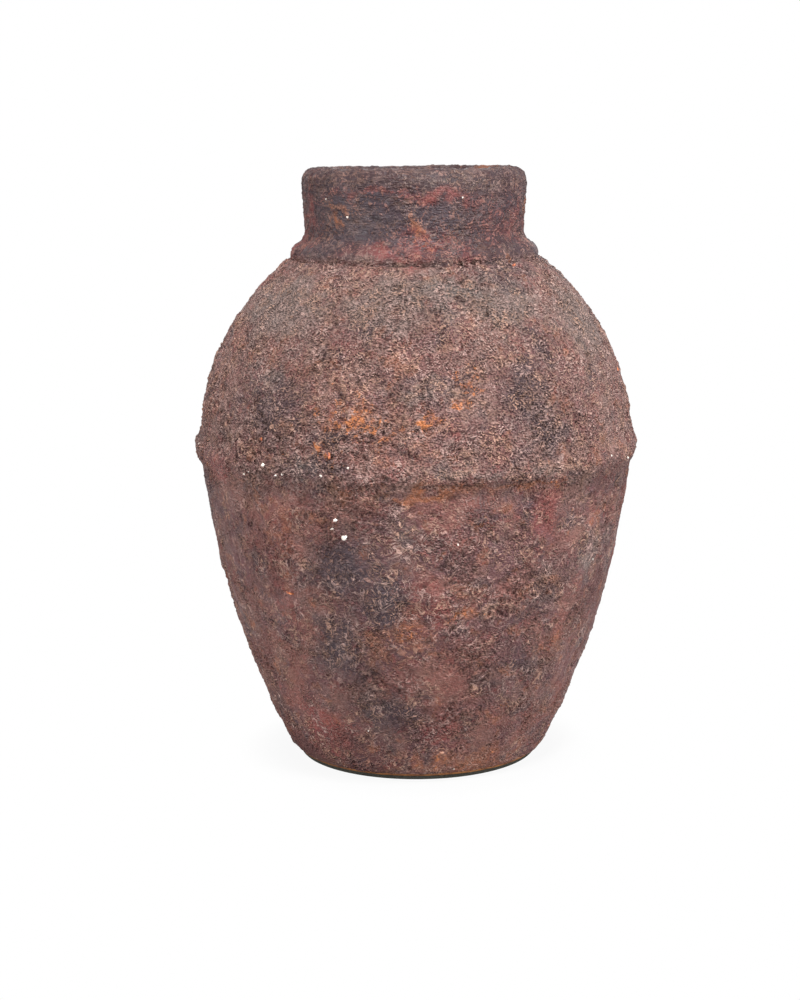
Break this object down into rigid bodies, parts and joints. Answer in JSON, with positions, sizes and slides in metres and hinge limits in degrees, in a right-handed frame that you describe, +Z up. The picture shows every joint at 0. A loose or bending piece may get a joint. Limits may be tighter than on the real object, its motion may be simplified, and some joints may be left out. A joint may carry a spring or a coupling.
{
  "type": "terracotta jar",
  "caption": "Wide-bodied terracotta jar with a short flared neck, a ridge at its girth and a rough rust-brown crust, standing on a felt pad.",
  "frame": {"origin": "centre of the underside of the felt pad, on the jar's axis", "axes": "+Z up along the jar's axis; the pictured side faces -Y, with +X to the right"},
  "size_m": [0.3444, 0.3444, 0.4598],
  "materials": {
    "clay": "unglazed fired terracotta, matt",
    "crust": "rough sanded slip, rust-brown with charcoal, red and ochre patches",
    "felt": "black pressed felt"
  },
  "bodies": {
    "root": {"felt_pad": "felt", "floor_slab": "clay", "lower_wall": "clay", "shoulder_wall": "clay", "neck_wall": "clay", "rim_coil": "clay", "girth_band": "clay", "neck_ring": "clay", "floor_seam_coil": "clay", "girth_seam_coil": "clay", "neck_seam_coil": "clay", "crust_lower": "crust", "crust_shoulder": "crust", "crust_neck": "crust"}
  },
  "joints": []
}
